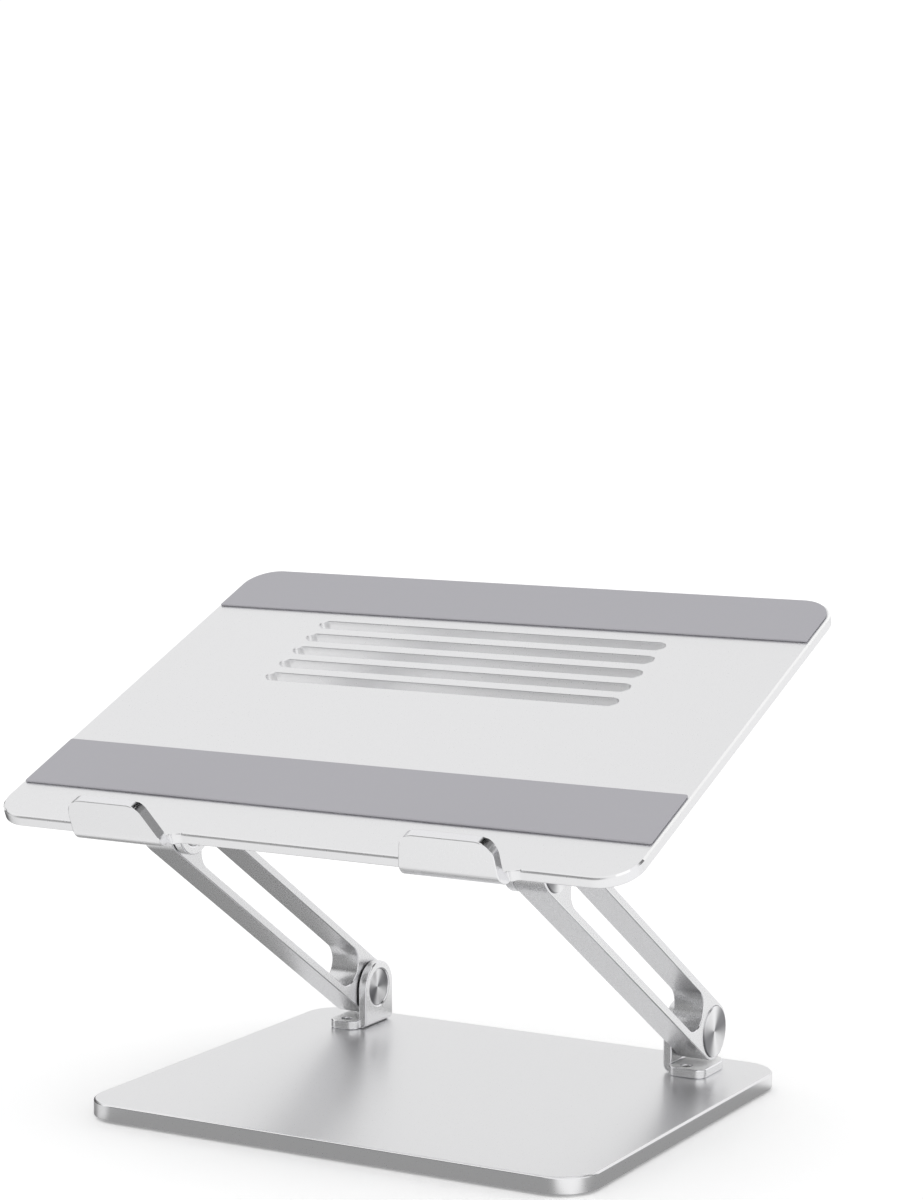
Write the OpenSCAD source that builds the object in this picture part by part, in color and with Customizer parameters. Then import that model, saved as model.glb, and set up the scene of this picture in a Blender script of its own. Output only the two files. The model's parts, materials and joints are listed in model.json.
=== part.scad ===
// Adjustable laptop stand: a flat base, two slotted arms on friction hinges and a tilting platform.
// Millimetres. +X is to the right, +Y to the rear and +Z up, with the hooks at the front.
// The origin is the centre of the underside, on the desk.

/* [Base] */
// Width of the base plate
base_w = 209; // [190:1:240]
// Depth of the base plate
base_d = 177; // [168:1:200]
// Thickness of the base plate
base_t = 6; // [5:0.5:8]
// Corner radius of the base plate
base_r = 15; // [8:1:25]
// Thickness of the silicone mat under the base
mat_t = 1; // [0.5:0.25:2]
// How far the mat stays inside the edge of the base
mat_inset = 6; // [3:1:12]

/* [Arms] */
// Distance between the two pins of an arm
arm_len = 159.8; // [140:0.2:180]
// Angle of the arms above the desk as modelled
arm_angle = 33.25; // [10:0.25:70]
// Width of an arm across its length
arm_w = 22.3; // [20.5:0.1:26]
// Thickness of an arm
arm_t = 12.6; // [12:0.1:15]
// Distance from the middle of the stand to the inner face of an arm
arm_in = 70.9; // [60:0.1:80]
// Width of the long window through an arm
window_w = 15.9; // [10:0.1:17]
// Distance from a pin to the centre of the window's round end
window_gap = 21.5; // [20:0.5:30]

/* [Hinges] */
// Distance of the lower pins behind the middle of the base
lower_y = 68.5; // [50:0.5:72]
// Height of the lower pins above the base plate
lower_h = 15.6; // [15.6:0.1:22]
// Distance of the upper pins below the underside of the platform
upper_h = 17; // [15.6:0.1:22]
// Radius of a pin's shank
pin_r = 4; // [3:0.1:4.2]
// Radius of the dished head of a pin
head_r = 7.5; // [6:0.1:9]
// Radius of the dished cap on the outside of an arm
cap_r = 9.9; // [9.5:0.1:10.1]

/* [Brackets] */
// Thickness of the ear and the foot of a bracket
bracket_t = 3.5; // [3:0.1:3.6]
// Radius of the outer corner between the ear and the foot
heel_r = 3; // [1.5:0.1:3]
// Half width of the ear, which is also the radius of its round top
ear_r = 10.8; // [10:0.1:12]
// Reach of the foot past the ear, on the arm's side
foot_reach = 4.4; // [3:0.1:8]
// Distance from the middle of the stand to the outer side of the left feet
foot_out_left = 82.4; // [82:0.1:92]
// Distance from the middle of the stand to the outer side of the right feet
foot_out_right = 85.5; // [82:0.1:92]

/* [Platform] */
// Width of the platform
plat_w = 260; // [240:1:300]
// Depth of the platform
plat_d = 197.7; // [190:0.1:240]
// Thickness of the platform plate
plat_t = 4.2; // [3:0.1:5]
// Corner radius of the platform
plat_r = 14; // [8:1:20]
// Tilt of the platform as modelled, rear edge up
tilt = 22.4; // [0:0.1:40]
// Distance from the platform's front edge to the upper pins
pin_back = 36.7; // [30:0.1:60]
// Chamfer on the upper edges of the platform and the base
edge = 0.6; // [0.3:0.1:1]

/* [Vent slots] */
// Number of vent slots
slot_count = 5; // [1:1:6]
// Distance between the centres of a slot's round ends
slot_len = 145; // [60:1:200]
// Width of a slot
slot_w = 6; // [4:0.5:8]
// Distance between neighbouring slots
slot_pitch = 10.7; // [9:0.1:12]
// Distance from the front edge to the middle slot
slot_mid = 134.2; // [100:0.1:150]

/* [Pads] */
// Thickness of the silicone pads on the platform
pad_t = 0.9; // [0.5:0.1:2]
// Distance from the front edge to the front pad
front_pad_at = 22.5; // [18:0.5:24]
// Depth of the front pad
front_pad_d = 31.7; // [30:0.1:40]
// Depth of the rear pad
rear_pad_d = 32.5; // [30:0.1:40]
// Margin between the pads and the sides of the platform
pad_margin = 1.2; // [1:0.1:4]

/* [Hooks] */
// Height of the hooks above the platform
hook_h = 14.5; // [10:0.5:25]
// Distance of a hook's front face ahead of the platform's front edge
hook_out = 7.5; // [6.5:0.1:12]
// Inner radius of the bend of a hook
hook_bend = 2; // [1:0.1:2.4]
// Distance from the middle of the stand to the outer side of a hook
hook_far = 86.3; // [70:0.1:100]
// Distance from the middle of the stand to the foot of the left hook's inner side
near_left = 49.2; // [30:0.1:60]
// Distance from the middle of the stand to the foot of the right hook's inner side
near_right = 48.4; // [30:0.1:60]
// Slant of the left hook's inner side
slant_left = 24; // [0:1:30]
// Slant of the right hook's inner side
slant_right = 10; // [0:1:30]
// Radius of the upper corners of a hook
hook_r = 6.5; // [3:0.5:7]
// Radius in the corner between a hook's root and the front edge
root_r = 4.5; // [2.5:0.5:6]

/* [Hidden] */
$fn = 64;
left = -1;
right = 1;
eps = 0.01;

silver = [0.80, 0.80, 0.81];
bright = [0.88, 0.88, 0.89];
steel = [0.55, 0.55, 0.57];
silicone = [0.68, 0.68, 0.70];
dark_silicone = [0.30, 0.30, 0.32];

base_top = mat_t + base_t;
lower_z = base_top + lower_h;
upper_y = lower_y - arm_len * cos(arm_angle);
upper_z = lower_z + arm_len * sin(arm_angle);

// Places along a hinge pin, measured outwards from the middle of the stand
arm_out = arm_in + arm_t;
washer_t = 0.2;
hinge_gap = 0.35;
ear_out = arm_in - hinge_gap - washer_t;
ear_in = ear_out - bracket_t;
head_t = 1.3;
head_sink = 0.45;
head_at = ear_in + head_sink;
seat_flare = 0.15;
dish = 0.45;
cap_t = 1.4;
cap_seat = 0.9;
pocket_depth = 7.6;
pocket_r = 8.8;
pocket_floor = arm_out - pocket_depth;
spring_count = 4;
spring_pitch = 0.65;
spring_t = 0.4;
spring_rise = 0.2;
spring_r = 8.2;
nut_t = 3;
nut_r = 7.5;
nut_at = pocket_floor + spring_count * spring_pitch + hinge_gap;
thread_r = pin_r - 0.1;
pin_end = nut_at + nut_t + 0.3;
washer_r = 7.6;

// Radial clearances
fit_gap = 0.05;
run_gap = 0.06;
open_gap = 0.3;
loose_gap = 0.4;

// Countersunk M4 screws
screw_r = 1.95;
tapped_r = 2;
hole_r = 2.2;
screw_head_r = 4;
screw_head_t = 2.05;
socket_r = 1.45;
socket_t = 1.4;
base_screw_l = base_t + 2.2;
plat_screw_l = plat_t + 2.6;
// Each screw's distance out from the middle, and from the pin towards the arm's side
screw_spots = [[76.4, 10], [76.4, -5.5]];

foot_r = 4;
foot_back_r = 8.5;
pad_corner = 0.8;
hook_t = plat_t;
hook_bend_out = hook_bend + hook_t;
tab_len = hook_out - hook_bend_out;
root_flare = 0.5;

// Points along an arc
function arc(c, r, from, to, n = 10) =
  [for (i = [0:n]) c + r * [cos(from + (to - from) * i / n), sin(from + (to - from) * i / n)]];

// A rectangle with round corners, centred
module rounded_rect(w, d, r) {
  square([w, d - 2 * r], center = true);
  square([w - 2 * r, d], center = true);
  for (x = [-1, 1], y = [-1, 1])
    translate([x * (w / 2 - r), y * (d / 2 - r)])
      circle(r);
}

// A slot shape with round ends on the X axis, len between the end centres
module obround(len, r) {
  square([len, 2 * r], center = true);
  for (x = [-1, 1])
    translate([x * len / 2, 0])
      circle(r);
}

// Half section of a plate's edge, chamfered at the top, out to the distance run
module edge_section(run, t) {
  polygon([[0, 0], [run, 0], [run, t - edge], [run - edge, t], [0, t]]);
}

// A plate with round corners and a chamfer round its upper edge, standing on Z = 0
module chamfered_plate(w, d, t, r) {
  for (turn = [0, 180]) {
    rotate([90, 0, turn])
      linear_extrude(height = d - 2 * r, center = true)
        edge_section(w / 2, t);
    rotate([90, 0, turn + 90])
      linear_extrude(height = w - 2 * r, center = true)
        edge_section(d / 2, t);
  }
  for (x = [-1, 1], y = [-1, 1])
    translate([x * (w / 2 - r), y * (d / 2 - r), 0])
      rotate_extrude()
        edge_section(r, t);
}

// Mirrors a piece that is drawn on the right to the left side
module on_side(side) {
  mirror([side < 0 ? 1 : 0, 0, 0])
    children();
}

// Frames with their origin on the hinge axes
module lower_frame(side) {
  translate([0, lower_y, lower_z])
    on_side(side)
      children();
}
module arm_frame(side) {
  lower_frame(side)
    rotate([-arm_angle, 0, 0])
      children();
}
module platform_frame(side = right) {
  translate([0, upper_y, upper_z])
    rotate([tilt, 0, 0])
      on_side(side)
        children();
}
// The upper hinge as the arm holds it
module arm_tip_frame(side) {
  arm_frame(side)
    translate([0, -arm_len, 0])
      children();
}

// A solid of revolution round a hinge pin, from a section of [radius, distance outwards] points
module turned(section) {
  rotate([0, 90, 0])
    rotate_extrude()
      polygon(section);
}

// ---- pieces of one hinge, each drawn on the right with its pin on the X axis ----

module hinge_pin() {
  color(bright)
    turned([
      [0, head_at + dish], [head_r - 0.2, head_at], [head_r, head_at + 0.2],
      [head_r, head_at + head_t], [pin_r, head_at + head_t], [pin_r, nut_at - 0.2], [thread_r, nut_at - 0.1],
      [thread_r, pin_end], [0, pin_end]
    ]);
}

module friction_washer() {
  color(steel)
    turned([
      [pin_r + open_gap, ear_out], [washer_r, ear_out],
      [washer_r, ear_out + washer_t], [pin_r + open_gap, ear_out + washer_t]
    ]);
}

// Cupped spring washers, stacked in pairs that face each other
module spring_stack() {
  inner = pin_r + loose_gap;
  color(steel)
    for (i = [0:spring_count - 1]) {
      at = pocket_floor + i * spring_pitch;
      cup = i % 2 == 0 ? spring_rise : 0;
      lip = spring_rise - cup;
      turned([
        [inner, at + cup], [spring_r, at + lip],
        [spring_r, at + lip + spring_t], [inner, at + cup + spring_t]
      ]);
    }
}

module hinge_nut() {
  color(steel)
    rotate([0, 90, 0])
      translate([0, 0, nut_at])
        difference() {
          cylinder(r = nut_r, h = nut_t, $fn = 6);
          translate([0, 0, -eps])
            cylinder(r = thread_r + fit_gap, h = nut_t + 2 * eps);
        }
}

module dished_cap() {
  inner = arm_out - cap_seat;
  color(bright)
    turned([
      [0, inner], [cap_r, inner], [cap_r, inner + cap_t - 0.2],
      [cap_r - 0.2, inner + cap_t], [cap_r - 0.4, inner + cap_t], [0, inner + cap_t - dish]
    ]);
}

// ---- brackets ----

// An L: an ear beside the arm and a foot that runs out under it.
// The pin is at the origin, the foot lies h below it, out to the distance out, and reaches
// furthest towards -Y. The head of the pin sits in a flared seat in the ear.
module bracket(h, out) {
  color(silver)
    difference() {
      union() {
        // ear
        translate([ear_in, 0, 0])
          rotate([90, 0, 90])
            linear_extrude(height = bracket_t) {
              circle(ear_r);
              translate([-ear_r, heel_r - h])
                square([2 * ear_r, h - heel_r]);
            }
        // round outer corner
        translate([ear_in + heel_r, ear_r, heel_r - h])
          rotate([90, 0, 0])
            linear_extrude(height = 2 * ear_r)
              intersection() {
                circle(heel_r);
                translate([-2 * heel_r, -2 * heel_r])
                  square(2 * heel_r);
              }
        // foot
        translate([0, 0, -h])
          linear_extrude(height = bracket_t)
            foot_outline(out);
      }
      turned([
        [0, 0], [head_r + seat_flare, 0], [head_r + seat_flare, ear_in],
        [head_r + fit_gap, head_at], [head_r + fit_gap, head_at + head_t],
        [pin_r + fit_gap, head_at + head_t], [pin_r + fit_gap, arm_in], [0, arm_in]
      ]);
      for (spot = screw_spots)
        translate([spot[0], -spot[1], -h - eps])
          cylinder(r = tapped_r, h = bracket_t + 2 * eps);
    }
}

module foot_outline(out) {
  front = -ear_r - foot_reach;
  inner = ear_in + heel_r;
  polygon(concat(
    [[inner, ear_r]],
    arc([out - foot_back_r, ear_r - foot_back_r], foot_back_r, 90, 0),
    arc([out - foot_r, front + foot_r], foot_r, 0, -90),
    arc([inner + foot_r, front + foot_r], foot_r, -90, -180)
  ));
}

// ---- arms ----

// A bar with round ends and a long window, pins at the origin and at -Y
module arm(upper_gap) {
  window_len = arm_len - 2 * window_gap;
  color(silver)
    difference() {
      translate([arm_in, -arm_len / 2, 0])
        rotate([90, 0, 90])
          linear_extrude(height = arm_t)
            difference() {
              obround(arm_len, arm_w / 2);
              obround(window_len, window_w / 2);
            }
      for (spot = [[0, run_gap], [-arm_len, upper_gap]])
        translate([0, spot[0], 0])
          rotate([0, 90, 0]) {
            cylinder(r = pin_r + spot[1], h = arm_out);
            translate([0, 0, pocket_floor])
              cylinder(r = pocket_r, h = pocket_depth + eps);
            translate([0, 0, arm_out - cap_seat])
              cylinder(r = cap_r + fit_gap, h = cap_seat + eps);
          }
    }
}

// ---- base ----

module base_plate() {
  color(silver)
    difference() {
      translate([0, 0, mat_t])
        chamfered_plate(base_w, base_d, base_t, base_r);
      base_screw_places() {
        translate([0, 0, -eps])
          cylinder(r = hole_r, h = base_t + 2 * eps);
        translate([0, 0, -eps])
          cylinder(r1 = screw_head_r + 0.1, r2 = hole_r, h = screw_head_t);
      }
    }
}

module base_mat() {
  color(dark_silicone)
    linear_extrude(height = mat_t)
      rounded_rect(base_w - 2 * mat_inset, base_d - 2 * mat_inset, base_r - mat_inset);
}

module base_screw_places() {
  for (side = [left, right], spot = screw_spots)
    translate([side * spot[0], lower_y - spot[1], mat_t])
      children();
}

// A countersunk screw with its head on Z = 0, pointing up
module screw(len) {
  color(steel)
    difference() {
      union() {
        cylinder(r1 = screw_head_r, r2 = screw_r, h = screw_head_t);
        cylinder(r = screw_r, h = len);
      }
      translate([0, 0, -eps])
        cylinder(r = socket_r, h = socket_t, $fn = 6);
    }
}

module base_screws() {
  base_screw_places()
    screw(base_screw_l);
}

// ---- platform: local Y runs from the pins to the rear, the underside is at Z = upper_h ----

module plate_places() {
  translate([0, plat_d / 2 - pin_back, upper_h])
    children();
}

// Section of a hook from its side: a tab, the bend and the upright
module hook_section() {
  translate([-tab_len, -hook_t])
    square([tab_len + 1, hook_t]);
  translate([-tab_len, hook_bend])
    intersection() {
      difference() {
        circle(hook_bend_out);
        circle(hook_bend);
      }
      translate([-2 * hook_bend_out, -2 * hook_bend_out])
        square(2 * hook_bend_out);
    }
  translate([-hook_out, hook_bend])
    square([hook_t, hook_h - hook_bend]);
}

// Outline of a hook from the front, drawn on the right, with its inner side slanted
module hook_outline(slant, near) {
  lean = tan(slant);
  far_c = [hook_far - hook_r, hook_h - hook_r];
  // centre of the inner corner, tangent to the slanted side and the top
  near_c = [near + lean * far_c[1] + hook_r / cos(slant), far_c[1]];
  polygon(concat(
    [[near - root_flare, -hook_t], [near, hook_bend]],
    arc(near_c, hook_r, 180 - slant, 90),
    arc(far_c, hook_r, 90, 0),
    [[hook_far, hook_bend], [hook_far + root_flare, -hook_t]]
  ));
}

// Fillets between the root of a hook and the front edge
module hook_roots(near) {
  for (at = [[near, -1], [hook_far, 1]])
    translate([at[0], 0])
      difference() {
        translate([at[1] > 0 ? -1 : -root_r, -tab_len])
          square([root_r + 1, tab_len + 1]);
        translate([at[1] * root_r, -root_r])
          circle(root_r);
      }
}

module hook(slant, near) {
  intersection() {
    rotate([90, 0, 90])
      linear_extrude(height = hook_far + root_r)
        hook_section();
    translate([0, 1, 0])
      rotate([90, 0, 0])
        linear_extrude(height = hook_out + 2)
          hook_outline(slant, near);
  }
  translate([0, 0, -hook_t])
    linear_extrude(height = hook_t)
      hook_roots(near);
}

module platform_plate() {
  color(bright)
    platform_frame()
      difference() {
        union() {
          plate_places()
            chamfered_plate(plat_w, plat_d, plat_t, plat_r);
          for (one = [[left, slant_left, near_left], [right, slant_right, near_right]])
            translate([0, -pin_back, upper_h + plat_t])
              on_side(one[0])
                hook(one[1], one[2]);
        }
        for (i = [0:slot_count - 1])
          translate([0, slot_mid - pin_back + (i - (slot_count - 1) / 2) * slot_pitch, upper_h - eps])
            linear_extrude(height = plat_t + 2 * eps)
              obround(slot_len, slot_w / 2);
        platform_screw_places() {
          translate([0, 0, -eps])
            cylinder(r = hole_r, h = plat_t + 2 * eps);
          translate([0, 0, -eps])
            cylinder(r1 = screw_head_r + 0.1, r2 = hole_r, h = screw_head_t);
        }
      }
}

// Screws go down through the platform, their heads flush with its upper face
module platform_screw_places() {
  for (side = [left, right], spot = screw_spots)
    translate([side * spot[0], spot[1], upper_h + plat_t])
      rotate([180, 0, 0])
        children();
}

module platform_screws() {
  platform_frame()
    platform_screw_places()
      screw(plat_screw_l);
}

module front_pad() {
  color(silicone)
    platform_frame()
      translate([0, front_pad_at + front_pad_d / 2 - pin_back, upper_h + plat_t])
        linear_extrude(height = pad_t)
          rounded_rect(plat_w - 2 * pad_margin, front_pad_d, pad_corner);
}

module rear_pad() {
  color(silicone)
    platform_frame()
      translate([0, 0, plat_t])
        plate_places()
          linear_extrude(height = pad_t)
            intersection() {
              rounded_rect(plat_w - 2 * pad_margin, plat_d - 2 * pad_margin, plat_r - pad_margin);
              translate([-plat_w / 2, plat_d / 2 - rear_pad_d])
                square([plat_w, rear_pad_d]);
            }
}

// ---- each sub-part in its place ----

module bracket_lower_left() lower_frame(left) bracket(lower_h, foot_out_left);
module bracket_lower_right() lower_frame(right) bracket(lower_h, foot_out_right);
module bracket_upper_left() platform_frame(left) rotate([180, 0, 0]) bracket(upper_h, foot_out_left);
module bracket_upper_right() platform_frame(right) rotate([180, 0, 0]) bracket(upper_h, foot_out_right);
module arm_left() arm_frame(left) arm(run_gap);
// The right arm's upper bore is wider: this hinge follows the other three
module arm_right() arm_frame(right) arm(open_gap);
module pin_lower_left() lower_frame(left) hinge_pin();
module pin_lower_right() lower_frame(right) hinge_pin();
module pin_upper_left() platform_frame(left) hinge_pin();
module pin_upper_right() platform_frame(right) hinge_pin();
module washer_lower_left() lower_frame(left) friction_washer();
module washer_lower_right() lower_frame(right) friction_washer();
module washer_upper_left() platform_frame(left) friction_washer();
module washer_upper_right() platform_frame(right) friction_washer();
module nut_lower_left() lower_frame(left) hinge_nut();
module nut_lower_right() lower_frame(right) hinge_nut();
module nut_upper_left() platform_frame(left) hinge_nut();
module nut_upper_right() platform_frame(right) hinge_nut();
module springs_lower_left() arm_frame(left) spring_stack();
module springs_lower_right() arm_frame(right) spring_stack();
module springs_upper_left() arm_tip_frame(left) spring_stack();
module springs_upper_right() arm_tip_frame(right) spring_stack();
module cap_lower_left() arm_frame(left) dished_cap();
module cap_lower_right() arm_frame(right) dished_cap();
module cap_upper_left() arm_tip_frame(left) dished_cap();
module cap_upper_right() arm_tip_frame(right) dished_cap();

base_plate();
base_mat();
base_screws();
bracket_lower_left();
bracket_lower_right();
pin_lower_left();
pin_lower_right();
washer_lower_left();
washer_lower_right();
nut_lower_left();
nut_lower_right();
arm_left();
arm_right();
springs_lower_left();
springs_lower_right();
springs_upper_left();
springs_upper_right();
cap_lower_left();
cap_lower_right();
cap_upper_left();
cap_upper_right();
platform_plate();
front_pad();
rear_pad();
platform_screws();
bracket_upper_left();
bracket_upper_right();
pin_upper_left();
pin_upper_right();
washer_upper_left();
washer_upper_right();
nut_upper_left();
nut_upper_right();
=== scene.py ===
import json
import math

import bmesh
import bpy
from mathutils import Matrix, Vector


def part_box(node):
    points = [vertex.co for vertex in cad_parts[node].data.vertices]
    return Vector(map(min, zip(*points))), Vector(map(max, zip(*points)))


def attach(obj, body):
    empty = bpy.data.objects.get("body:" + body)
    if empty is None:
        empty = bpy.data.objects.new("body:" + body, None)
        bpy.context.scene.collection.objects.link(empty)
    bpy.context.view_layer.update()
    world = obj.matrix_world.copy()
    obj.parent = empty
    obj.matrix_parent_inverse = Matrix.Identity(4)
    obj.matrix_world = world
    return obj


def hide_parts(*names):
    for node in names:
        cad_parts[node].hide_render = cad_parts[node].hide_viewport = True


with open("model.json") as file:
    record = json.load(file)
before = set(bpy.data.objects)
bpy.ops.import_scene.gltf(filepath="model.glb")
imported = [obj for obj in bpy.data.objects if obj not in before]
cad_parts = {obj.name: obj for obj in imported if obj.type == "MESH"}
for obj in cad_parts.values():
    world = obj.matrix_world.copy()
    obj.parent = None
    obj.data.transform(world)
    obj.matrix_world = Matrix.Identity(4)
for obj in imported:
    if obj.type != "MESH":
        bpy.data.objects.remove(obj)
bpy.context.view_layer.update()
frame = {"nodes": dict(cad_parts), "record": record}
bodies = frame["record"]["behaviour"]["bodies"]
nodeBody = {name: body for body, names in bodies.items() for name in names}
mm = 0.001
weldGap = 0.002 * mm  # corners nearer than this are one corner
flatAngle = math.radians(0.4)  # faces that differ by less are one flat face
sharpAngle = math.radians(30)  # edges that turn by more are real edges


# An sRGB hex value as the linear colour that a shader socket takes
def paint(code):
    channels = [int(code[i:i + 2], 16) / 255 for i in (1, 3, 5)]
    return (*[c / 12.92 if c <= 0.04045 else ((c + 0.055) / 1.055) ** 2.4 for c in channels], 1)


# Adds a node: an input is given a value, or a link if the value is another node's socket
def addNode(tree, kind, inputs=None, **settings):
    made = tree.nodes.new(kind)
    for name, value in settings.items():
        setattr(made, name, value)
    for name, value in (inputs or {}).items():
        if isinstance(value, bpy.types.NodeSocket):
            tree.links.new(value, made.inputs[name])
        else:
            made.inputs[name].default_value = value
    return made


def newMaterial(name):
    material = bpy.data.materials.new(name)
    material.use_nodes = True
    material.node_tree.nodes.clear()
    return material, material.node_tree


def newPiece(name, shape, material, body, nodes):
    mesh = bpy.data.meshes.new(name)
    shape.to_mesh(mesh)
    shape.free()
    mesh.materials.append(material)
    piece = bpy.data.objects.new(name, mesh)
    bpy.context.scene.collection.objects.link(piece)
    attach(piece, body)
    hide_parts(*nodes)
    return piece


# A copy of a CAD node with its sharp edges rounded, except those beside a crisp face. Each of others
# pairs a finish with a test for the faces that take it: slot 0 is the body, 1 the edges, 2 and up these
def softened(node, material, v, edgeMaterial=None, others=(), crisp=None):
    shape = bmesh.new()
    shape.from_mesh(frame["nodes"][node].data)
    bmesh.ops.remove_doubles(shape, verts=shape.verts, dist=weldGap)
    bmesh.ops.dissolve_limit(shape, angle_limit=flatAngle, verts=shape.verts, edges=shape.edges)
    bmesh.ops.recalc_face_normals(shape, faces=shape.faces)
    for face in shape.faces:
        face.smooth = True
        slots = [2 + i for i, (finish, takes) in enumerate(others) if takes(face)]
        face.material_index = slots[0] if slots else 0
    share = shape.edges.layers.float.new("bevel_weight_edge")
    for edge in shape.edges:
        sharp = edge.calc_face_angle(0) > sharpAngle
        edge[share] = float(sharp and not (crisp and any(crisp(face) for face in edge.link_faces)))
    piece = newPiece(node + "_look", shape, material, nodeBody[node], [node])
    if v["rounding"]:
        bevel = piece.modifiers.new("edges", "BEVEL")
        bevel.width = v["rounding"] * mm
        bevel.segments = v["steps"]
        bevel.limit_method = "WEIGHT"
        bevel.use_clamp_overlap = False
        if edgeMaterial:
            piece.data.materials.append(edgeMaterial)
            bevel.material = 1
    for finish, takes in others:
        piece.data.materials.append(finish)
    piece.data.set_sharp_from_angle(angle=sharpAngle)
    if v["rounding"]:
        normals = piece.modifiers.new("normals", "WEIGHTED_NORMAL")
        normals.weight = 80  # the wide faces keep most of their flat shading
        normals.keep_sharp = True


# Blasted, milled or plated metal: a sheen with a fine grain, of sizes in mm. A blasted face has a grain
# of about 0.1 mm, which is drawn at 0.3 to 0.5 mm so that it shows
def grainyMetal(name, v):
    material, tree = newMaterial(name)
    where = addNode(tree, "ShaderNodeTexCoord").outputs["Object"]
    grain = addNode(tree, "ShaderNodeTexNoise", {"Vector": where, "Scale": 1000 / v["grain"], "Detail": 3.0})
    rough = addNode(tree, "ShaderNodeMapRange", {
        "Value": grain.outputs["Fac"], "From Min": 0.3, "From Max": 0.7,
        "To Min": v["rough"] - v["spread"], "To Max": v["rough"] + v["spread"]})
    bump = addNode(tree, "ShaderNodeBump", {
        "Height": grain.outputs["Fac"], "Strength": v["bump"], "Distance": v["depth"] * mm})
    metal = addNode(tree, "ShaderNodeBsdfPrincipled", {
        "Base Color": paint(v["colour"]), "Metallic": v["metal"],
        "Roughness": rough.outputs["Result"], "Normal": bump.outputs["Normal"]})
    addNode(tree, "ShaderNodeOutputMaterial", {"Surface": metal.outputs["BSDF"]})
    return material


# Face-turned aluminium with painted highlight and painted shade: light and dark sectors of the base colour
# meet at the centre of each disc.
# The grooves are too fine to draw, so a stretched highlight and two pairs of painted sectors, fixed to the
# disc, stand for them
def faceTurnedPaintedSectors(name, v):
    material, tree = newMaterial(name)
    where = addNode(tree, "ShaderNodeTexCoord").outputs["Object"]
    off = addNode(tree, "ShaderNodeVectorMath", {0: where, 1: v["centre"]}, operation="SUBTRACT")
    axes = addNode(tree, "ShaderNodeSeparateXYZ", {"Vector": off.outputs["Vector"]}).outputs
    angle = addNode(tree, "ShaderNodeMath", {0: axes["Y"], 1: axes["Z"]}, operation="ARCTAN2")
    twice = addNode(tree, "ShaderNodeMath", {
        0: angle.outputs["Value"], 1: 2.0, 2: 2 * v["turn"]}, operation="MULTIPLY_ADD")
    wave = addNode(tree, "ShaderNodeMath", {0: twice.outputs["Value"]}, operation="COSINE")
    paintedSectorShare = addNode(tree, "ShaderNodeMapRange", {
        "Value": wave.outputs["Value"], "From Min": -1.0, "From Max": 1.0}, interpolation_type="SMOOTHSTEP")
    # Painted highlight and painted shade: the sectors' colour stands in for the light and dark that the
    # turning grooves reflect
    paintedSectorTone = addNode(tree, "ShaderNodeMix", {
        "Factor": paintedSectorShare.outputs["Result"], "A": paint(v["dark"]), "B": paint(v["light"])}, data_type="RGBA")
    around = addNode(tree, "ShaderNodeTangent", direction_type="RADIAL", axis="X")
    metal = addNode(tree, "ShaderNodeBsdfPrincipled", {
        "Base Color": paintedSectorTone.outputs["Result"], "Metallic": 1.0, "Roughness": v["rough"],
        "Anisotropic": v["stretch"], "Anisotropic Rotation": 0.25, "Tangent": around.outputs["Tangent"]})
    addNode(tree, "ShaderNodeOutputMaterial", {"Surface": metal.outputs["BSDF"]})
    return material


# Moulded silicone: matt, with a faint skin that breaks up the sheen, drawn coarser than real so it shows
def siliconeRubber(name, v):
    material, tree = newMaterial(name)
    where = addNode(tree, "ShaderNodeTexCoord").outputs["Object"]
    skin = addNode(tree, "ShaderNodeTexNoise", {"Vector": where, "Scale": 1000 / v["grain"], "Detail": 2.0})
    bump = addNode(tree, "ShaderNodeBump", {
        "Height": skin.outputs["Fac"], "Strength": v["bump"], "Distance": v["depth"] * mm})
    rubber = addNode(tree, "ShaderNodeBsdfPrincipled", {
        "Base Color": paint(v["colour"]), "Roughness": v["rough"], "IOR": 1.43,
        "Normal": bump.outputs["Normal"]})
    addNode(tree, "ShaderNodeOutputMaterial", {"Surface": rubber.outputs["BSDF"]})
    return material


# Bead-blasted and anodised plates: a soft, even sheen
anodised = grainyMetal("anodised_aluminium", {
    "colour": "#f0f0f1", "metal": 1.0, "rough": 0.3, "spread": 0.03,
    "grain": 0.5, "bump": 0.2, "depth": 0.01})
# The same on the arms: a little tighter, and a little darker in colour as painted shade
shadedArmMetal = grainyMetal("blasted_arm_aluminium_painted_shade", {
    "colour": "#e8e8e9", "metal": 1.0, "rough": 0.28, "spread": 0.03,
    "grain": 0.5, "bump": 0.2, "depth": 0.01})
# Cut edges: smooth and bright, so that they catch thin lines of light
cutEdge = grainyMetal("cut_aluminium", {
    "colour": "#f0f0f2", "metal": 1.0, "rough": 0.12, "spread": 0.02,
    "grain": 0.5, "bump": 0.0, "depth": 0.01})
# The sides of the hooks: milled, with sharper bands of light and dark than the plate
hookMetal = grainyMetal("milled_hook_side", {
    "colour": "#f0f0f2", "metal": 1.0, "rough": 0.18, "spread": 0.02,
    "grain": 0.5, "bump": 0.0, "depth": 0.01})
# Satin brackets: a smoother sheen than the plates
bracketMetal = grainyMetal("satin_aluminium", {
    "colour": "#f0f0f1", "metal": 0.9, "rough": 0.27, "spread": 0.03,
    "grain": 0.3, "bump": 0.1, "depth": 0.005})
# Painted light on the foot tops and the plate's side chamfers: a near-white copy of the aluminium, kept
# mostly diffuse, so that they stay pale whichever way they point
paintedLightFace = grainyMetal("painted_light_aluminium", {
    "colour": "#fbfbfb", "metal": 0.2, "rough": 0.35, "spread": 0.02,
    "grain": 0.3, "bump": 0.05, "depth": 0.005})
# Screws: dark, with a dull sheen
darkSteel = grainyMetal("dark_screw_steel", {
    "colour": "#38383a", "metal": 1.0, "rough": 0.4, "spread": 0.03,
    "grain": 0.5, "bump": 0.05, "depth": 0.005})
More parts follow.
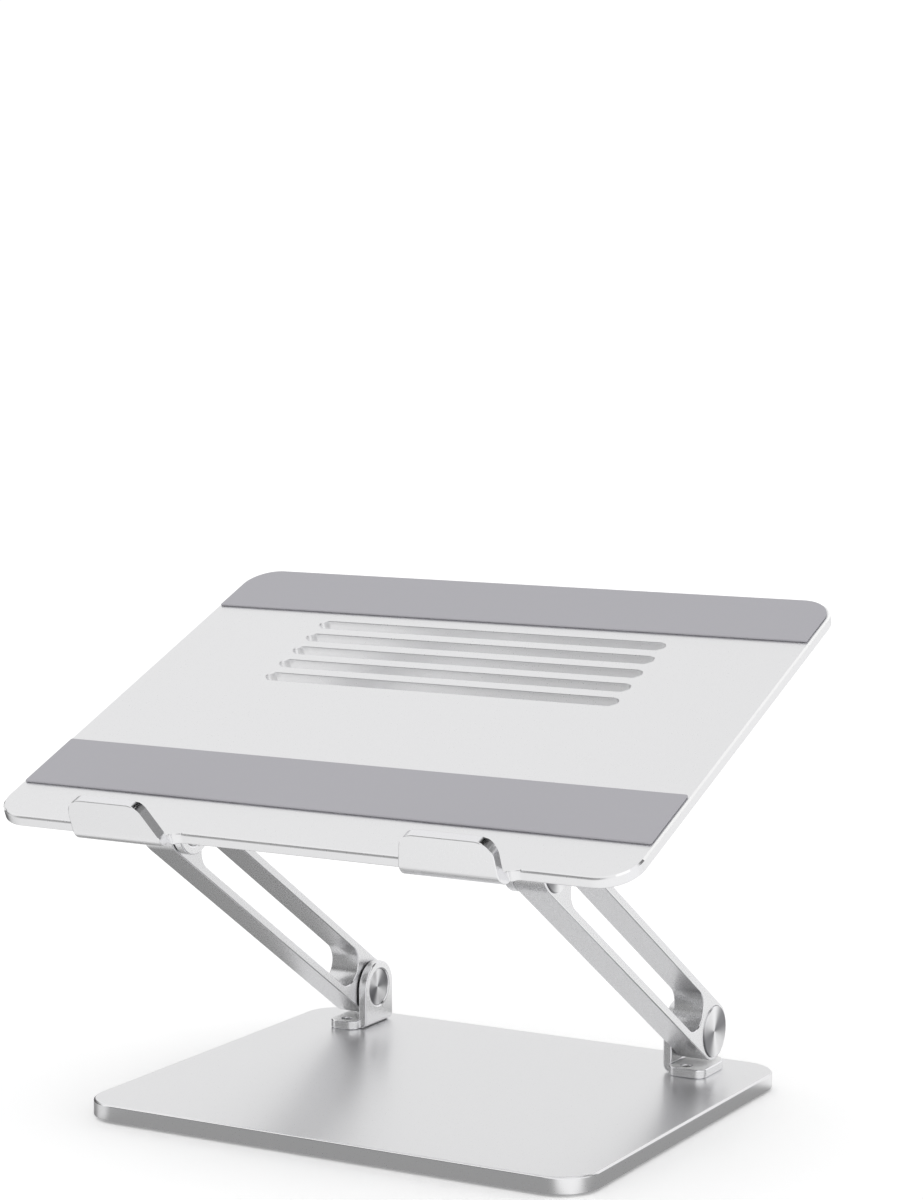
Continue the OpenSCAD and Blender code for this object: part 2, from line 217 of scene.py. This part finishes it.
# Zinc plating: a grey, slightly uneven sheen, drawn at 1.5 mm so that it shows
zincSteel = grainyMetal("zinc_plated_steel", {
    "colour": "#b9bbbe", "metal": 1.0, "rough": 0.3, "spread": 0.05,
    "grain": 1.5, "bump": 0.1, "depth": 0.005})
padRubber = siliconeRubber("grey_silicone", {
    "colour": "#a9a8ad", "rough": 0.7, "grain": 0.6, "bump": 0.15, "depth": 0.02})
matRubber = siliconeRubber("dark_silicone", {
    "colour": "#4a4a4d", "rough": 0.75, "grain": 0.8, "bump": 0.2, "depth": 0.03})
print("finishes ready")

# For each piece, the rounding of its edges in mm and the steps it is made in
basePlate = {"rounding": 0.15, "steps": 2}
softened("base_plate", anodised, basePlate, cutEdge)

# The hooks stand more than hookGap mm ahead of the front pad. The rest are limits for the direction that
# the sides of the hooks and the side chamfers face
platform = {"rounding": 0.35, "steps": 3, "hookGap": 8, "hookForward": 0.6, "hookDown": -0.3,
            "chamferLeast": 0.45, "chamferMost": 0.9}
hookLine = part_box("front_pad")[0][1] - platform["hookGap"] * mm


# The narrow cut sides of the two hooks
def hookSide(face):
    ahead = face.calc_center_median().y < hookLine
    return ahead and abs(face.normal.y) < platform["hookForward"] and face.normal.z > platform["hookDown"]


# The chamfers down the two sides of the plate, made bright with painted light
def sideChamfer(face):
    return platform["chamferLeast"] < abs(face.normal.x) < platform["chamferMost"] and face.normal.z > 0


softened("platform_plate", anodised, platform, anodised,
         ((hookMetal, hookSide), (paintedLightFace, sideChamfer)), sideChamfer)

arms = {"rounding": 0.35, "steps": 3}
softened("arm_left", shadedArmMetal, arms, cutEdge)
softened("arm_right", shadedArmMetal, arms, cutEdge)

# A face is a foot's top if it points up by at least footLevel and is larger than footArea, in mm2
brackets = {"rounding": 0.5, "steps": 4, "footLevel": 0.95, "footArea": 40}
# dark and light are the colours of the painted shade and painted highlight in the sectors of the turned
# discs
discs = {"rounding": 0.0, "turn": 0.5, "dark": "#858588", "light": "#fbfbfc", "rough": 0.35, "stretch": 0.8}
fixings = {"rounding": 0.0}


# The upper face of each foot, which lies flat on the plate; it is made pale with painted light
def footTop(face):
    return face.normal.z > brackets["footLevel"] and face.calc_area() > brackets["footArea"] * mm * mm


for level in ("lower", "upper"):
    boxLow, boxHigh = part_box("cap_" + level + "_left")
    centre = (0, (boxLow[1] + boxHigh[1]) / 2, (boxLow[2] + boxHigh[2]) / 2)  # the hinge's axis
    turnedPaintedSectors = faceTurnedPaintedSectors("turned_aluminium_painted_sectors_" + level, {**discs, "centre": centre})
    for side in ("left", "right"):
        tail = level + "_" + side
        softened("bracket_" + tail, bracketMetal, brackets, cutEdge, ((paintedLightFace, footTop),))
        softened("pin_" + tail, turnedPaintedSectors, discs)
        softened("cap_" + tail, turnedPaintedSectors, discs)
        for name in ("washer_", "nut_", "springs_"):
            softened(name + tail, zincSteel, fixings)

pads = {"rounding": 0.4, "steps": 3}
softened("front_pad", padRubber, pads)
softened("rear_pad", padRubber, pads)

mat = {"rounding": 0.25, "steps": 3}
softened("base_mat", matRubber, mat)

softened("base_screws", darkSteel, fixings)
softened("platform_screws", darkSteel, fixings)
print("pieces ready")

# The floor: its half size in metres, its lengths in mm, and the light of the strip and of the floor. In
# the metal it shows only as a grey strip round the base, a painted shadow, full up to stripFull from the
# base's edge and gone at stripGone, which fades out over the last cornerFade before each corner. From below
# it is clear
floorLook = {"half": 40, "drop": 0.1, "stripFull": 10, "stripGone": 70, "cornerFade": 12,
             "strip": 0.33, "lift": 0.08}
shape = bmesh.new()
bmesh.ops.create_grid(shape, x_segments=1, y_segments=1, size=floorLook["half"])
bmesh.ops.translate(shape, vec=(0, 0, -floorLook["drop"] * mm), verts=shape.verts)  # just clear of the mat
floorMesh = bpy.data.meshes.new("floor")
shape.to_mesh(floorMesh)
shape.free()
floor = bpy.data.objects.new("floor", floorMesh)
bpy.context.scene.collection.objects.link(floor)
floorMaterial, tree = newMaterial("white_floor")
path = addNode(tree, "ShaderNodeLightPath")
where = addNode(tree, "ShaderNodeTexCoord").outputs["Object"]
mirrored = addNode(tree, "ShaderNodeVectorMath", {0: where}, operation="ABSOLUTE")
halfX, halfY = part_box("base_plate")[1][:2]
past = addNode(tree, "ShaderNodeVectorMath", {
    0: mirrored.outputs["Vector"], 1: (halfX, halfY, 0)}, operation="SUBTRACT")
outside = addNode(tree, "ShaderNodeVectorMath", {0: past.outputs["Vector"]}, operation="MAXIMUM")
away = addNode(tree, "ShaderNodeVectorMath", {0: outside.outputs["Vector"]}, operation="LENGTH")
near = addNode(tree, "ShaderNodeMapRange", {
    "Value": away.outputs["Value"], "From Min": floorLook["stripFull"] * mm,
    "From Max": floorLook["stripGone"] * mm, "To Min": 1.0, "To Max": 0.0}, interpolation_type="SMOOTHSTEP")
sides = addNode(tree, "ShaderNodeSeparateXYZ", {"Vector": past.outputs["Vector"]}).outputs
corner = addNode(tree, "ShaderNodeMath", {0: sides["X"], 1: sides["Y"]}, operation="MINIMUM")
straight = addNode(tree, "ShaderNodeMapRange", {
    "Value": corner.outputs["Value"], "From Min": -floorLook["cornerFade"] * mm, "From Max": 0.0,
    "To Min": 1.0, "To Max": 0.0}, interpolation_type="SMOOTHSTEP")
shade = addNode(tree, "ShaderNodeMath", {
    0: near.outputs["Result"], 1: straight.outputs["Result"]}, operation="MULTIPLY")
# Painted shadow: the dim grey strip that the metal sees on the floor round the base
paintedShadowStrip = addNode(tree, "ShaderNodeEmission", {"Strength": floorLook["strip"]})
clear = addNode(tree, "ShaderNodeBsdfTransparent")
seenInMetal = addNode(tree, "ShaderNodeMixShader", {
    0: shade.outputs["Value"], 1: clear.outputs["BSDF"], 2: paintedShadowStrip.outputs["Emission"]})
paper = addNode(tree, "ShaderNodeBsdfDiffuse", {"Color": (1, 1, 1, 1)})
lift = addNode(tree, "ShaderNodeEmission", {"Strength": floorLook["lift"]})
seenPlain = addNode(tree, "ShaderNodeAddShader", {0: paper.outputs["BSDF"], 1: lift.outputs["Emission"]})
fromAbove = addNode(tree, "ShaderNodeMixShader", {
    0: path.outputs["Is Glossy Ray"], 1: seenPlain.outputs["Shader"], 2: seenInMetal.outputs["Shader"]})
under = addNode(tree, "ShaderNodeNewGeometry").outputs["Backfacing"]
seen = addNode(tree, "ShaderNodeMixShader", {
    0: under, 1: fromAbove.outputs["Shader"], 2: clear.outputs["BSDF"]})
addNode(tree, "ShaderNodeOutputMaterial", {"Surface": seen.outputs["Shader"]})
floorMaterial.cycles.emission_sampling = "NONE"
floorMesh.materials.append(floorMaterial)
print("floor ready")

# Soft cards painted on the world, seen only in the metal. Each has its turn from +Y towards +X and its
# rise in degrees, the half angles that it is full within and gone beyond, and its light
cards = (
    {"turn": -47, "rise": 50, "inner": 10, "outer": 40, "light": 0.9},
    {"turn": -18, "rise": 6, "inner": 14, "outer": 36, "light": 0.84},
    {"turn": -78, "rise": -8, "inner": 26, "outer": 44, "light": 0.05},
    {"turn": -108, "rise": -27, "inner": 0, "outer": 37, "light": 0.8},
    {"turn": -160, "rise": 3, "inner": 22, "outer": 42, "light": 0.33},
    {"turn": -145, "rise": 33, "inner": 5, "outer": 15, "light": 0.08},
    {"turn": -35, "rise": -52, "inner": 12, "outer": 28, "light": 0.22},
    {"turn": 53, "rise": 0, "inner": 9, "outer": 17, "light": 0.25},
    {"turn": 54, "rise": 23, "inner": 9, "outer": 16, "light": 0.27},
    {"turn": 50, "rise": 46, "inner": 8, "outer": 15, "light": 0.18},
    {"turn": 20, "rise": 66, "inner": 12, "outer": 20, "light": 0.0},
)
studio = {"room": 1.06, "betweenCards": 0.98}  # light on everything else, and in the metal between cards
world = bpy.data.worlds.new("studio")
bpy.context.scene.world = world
world.use_nodes = True
world.cycles.sampling_method = "NONE"
tree = world.node_tree
tree.nodes.clear()
towards = addNode(tree, "ShaderNodeTexCoord").outputs["Generated"]
light = studio["betweenCards"]
for card in cards:
    turn, rise = math.radians(card["turn"]), math.radians(card["rise"])
    axis = Vector((math.sin(turn) * math.cos(rise), math.cos(turn) * math.cos(rise), math.sin(rise)))
    closeness = addNode(tree, "ShaderNodeVectorMath", {0: towards, 1: axis}, operation="DOT_PRODUCT")
    part = addNode(tree, "ShaderNodeMapRange", {
        "Value": closeness.outputs["Value"], "From Min": math.cos(math.radians(card["outer"])),
        "From Max": math.cos(math.radians(card["inner"]))}, interpolation_type="SMOOTHSTEP")
    light = addNode(tree, "ShaderNodeMix", {
        "Factor": part.outputs["Result"], "A": light, "B": card["light"]}).outputs["Result"]
path = addNode(tree, "ShaderNodeLightPath")
strength = addNode(tree, "ShaderNodeMix", {
    "Factor": path.outputs["Is Glossy Ray"], "A": studio["room"], "B": light}).outputs["Result"]
sky = addNode(tree, "ShaderNodeBackground", {"Color": (1, 1, 1, 1), "Strength": strength})
addNode(tree, "ShaderNodeOutputWorld", {"Surface": sky.outputs["Background"]})
print("world ready")

# Place in metres, turn, pitch and roll in radians, lens in mm on a sensor 36 mm high
view = {"place": (0.545223, -0.970069, 0.303960), "turn": 0.505603, "pitch": 0.10007, "roll": 0.003852,
        "lens": 89.544, "sensor": 36, "shiftX": 0.00138, "shiftY": -0.00075, "reach": 100}
camera = bpy.data.objects.new("camera", bpy.data.cameras.new("camera"))
bpy.context.scene.collection.objects.link(camera)
camera.data.sensor_fit = "VERTICAL"
camera.data.sensor_height = view["sensor"]
camera.data.lens = view["lens"]
camera.data.shift_x = view["shiftX"]
camera.data.shift_y = view["shiftY"]
camera.data.clip_end = view["reach"]
turn, pitch, roll = view["turn"], view["pitch"], view["roll"]
back = Vector((math.sin(turn) * math.cos(pitch), -math.cos(turn) * math.cos(pitch), math.sin(pitch)))
sideways = Vector((math.cos(turn), math.sin(turn), 0))
upright = back.cross(sideways)
right = math.cos(roll) * sideways + math.sin(roll) * upright
up = math.cos(roll) * upright - math.sin(roll) * sideways
turned = Matrix((right, up, back)).transposed().to_4x4()
camera.matrix_world = Matrix.Translation(view["place"]) @ turned
bpy.context.scene.camera = camera
bpy.context.scene.view_settings.view_transform = "Standard"
print("camera ready")
